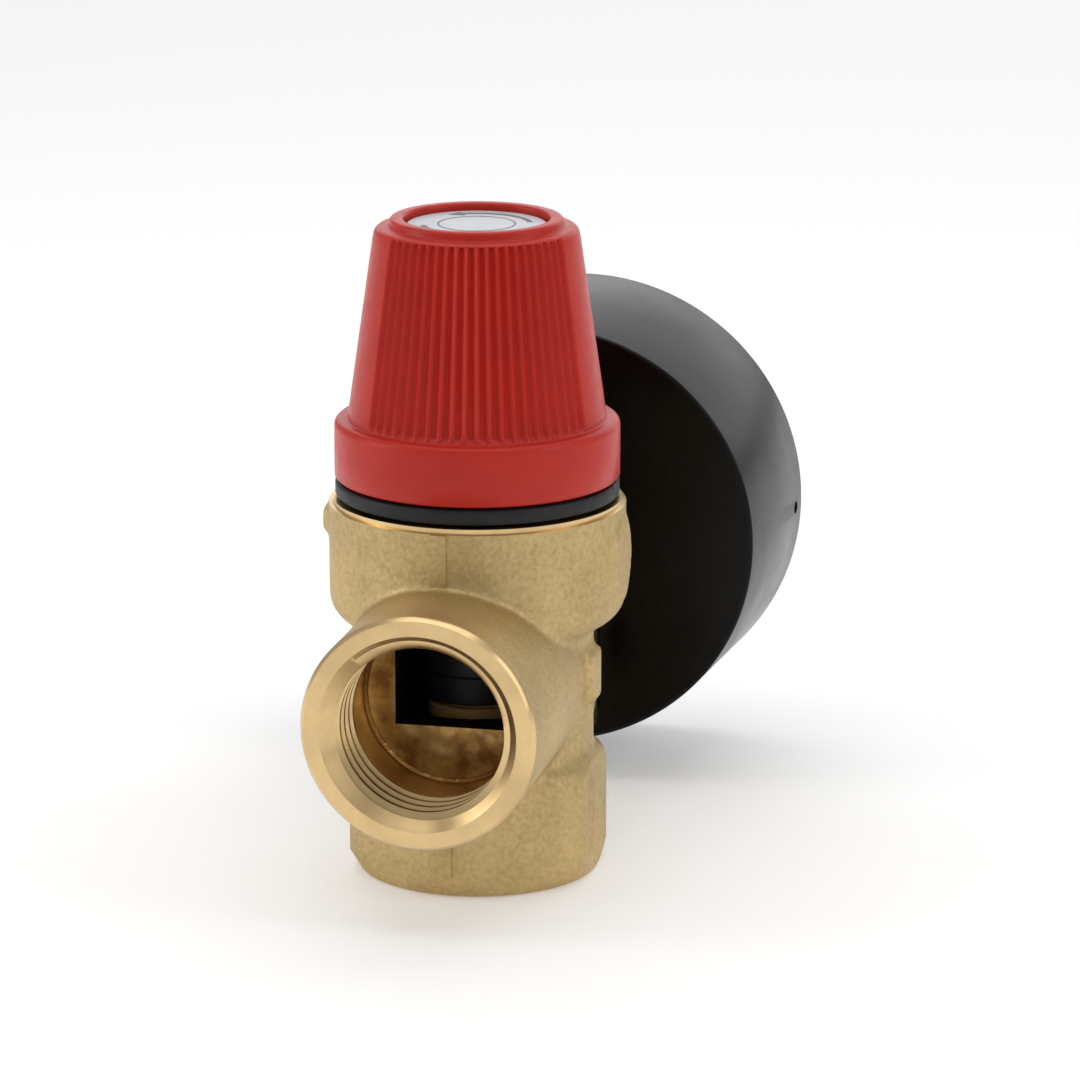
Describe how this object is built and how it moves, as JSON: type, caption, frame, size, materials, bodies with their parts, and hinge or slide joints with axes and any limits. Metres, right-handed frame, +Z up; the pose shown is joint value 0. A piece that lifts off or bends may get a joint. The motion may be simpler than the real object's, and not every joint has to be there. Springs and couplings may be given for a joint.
{
  "type": "pressure relief valve",
  "caption": "Diaphragm pressure relief valve with threaded inlet and side outlet, lift-to-test knob, spring-loaded seat and a round back-entry gauge.",
  "frame": {"origin": "centre of the inlet face, on the valve's vertical axis, where the supply pipe enters", "axes": "+Z up along the inlet and the valve stem, -Y out of the side outlet, +Y towards the gauge dial"},
  "size_m": [0.0538, 0.0866, 0.0746],
  "materials": {
    "forged_brass": "hot-forged and shot-blasted, machined at mouths and faces",
    "turned_brass": "turned",
    "black_nylon": "satin moulded",
    "red_plastic": "satin-gloss moulded",
    "label_foil": "printed disc, plain",
    "spring_steel": "zinc plated",
    "rubber_seal": "moulded EPDM",
    "white_plastic": "natural acetal",
    "case_plastic": "gloss black ABS",
    "clear_window": "clear polycarbonate",
    "dial_white": null,
    "pointer_black": "matt black"
  },
  "bodies": {
    "valve": {"valve_body": "forged_brass", "bonnet": "black_nylon", "spring_adjuster": "turned_brass", "main_spring": "spring_steel", "slip_washer": "white_plastic", "diaphragm": "rubber_seal", "gauge_stem": "turned_brass", "stem_washer": "rubber_seal", "gauge_case": "case_plastic", "gauge_window": "clear_window", "gauge_dial": "dial_white", "stop_pin": "spring_steel", "bourdon_tube": "turned_brass", "tube_tip": "turned_brass", "hairspring": "turned_brass", "rear_plate": "turned_brass", "front_plate": "turned_brass", "plate_pillar_left": "turned_brass", "plate_pillar_right": "turned_brass", "dial_post_left": "turned_brass", "dial_post_right": "turned_brass"},
    "stem": {"stem": "turned_brass", "spring_plate": "spring_steel", "obturator_holder": "black_nylon", "seat_seal": "rubber_seal", "seal_screw": "spring_steel"},
    "knob": {"control_knob": "red_plastic", "knob_label": "label_foil", "knob_screw": "spring_steel"},
    "sector": {"sector_gear": "turned_brass"},
    "link": {"tube_link": "spring_steel"},
    "pointer": {"pinion_arbor": "spring_steel", "gauge_pointer": "pointer_black"}
  },
  "joints": [
    {"name": "stem_lift", "type": "slide", "parent": "valve", "child": "stem", "axis": [0, 0, 1], "range_m": [0, 0.002], "stiffness_N_per_m": 8000, "springref_m": -0.003, "deforming": ["main_spring", "diaphragm"]},
    {"name": "knob_turn", "type": "hinge", "parent": "stem", "child": "knob", "pos_m": [0, 0, 0.06], "axis": [0, 0, 1], "range_deg": [0, 45]},
    {"name": "sector_swing", "type": "hinge", "parent": "valve", "child": "sector", "pos_m": [0, 0.0412, 0.0189], "axis": [0, 1, 0], "range_deg": [0, 30]},
    {"name": "pointer_turn", "type": "hinge", "parent": "valve", "child": "pointer", "pos_m": [0, 0.0412, 0.0299], "axis": [0, -1, 0], "range_deg": [0, 270]},
    {"name": "link_swing", "type": "hinge", "parent": "sector", "child": "link", "pos_m": [0.00168, 0.0422, 0.01262], "axis": [0, 1, 0], "range_deg": [-24.5, 0]}
  ],
  "couplings": [
    {"joint": "knob_turn", "follows": "stem_lift", "rad_per_m": 392.65},
    {"joint": "pointer_turn", "follows": "sector_swing", "ratio": 9},
    {"joint": "link_swing", "follows": "sector_swing", "ratio": -0.8077}
  ]
}
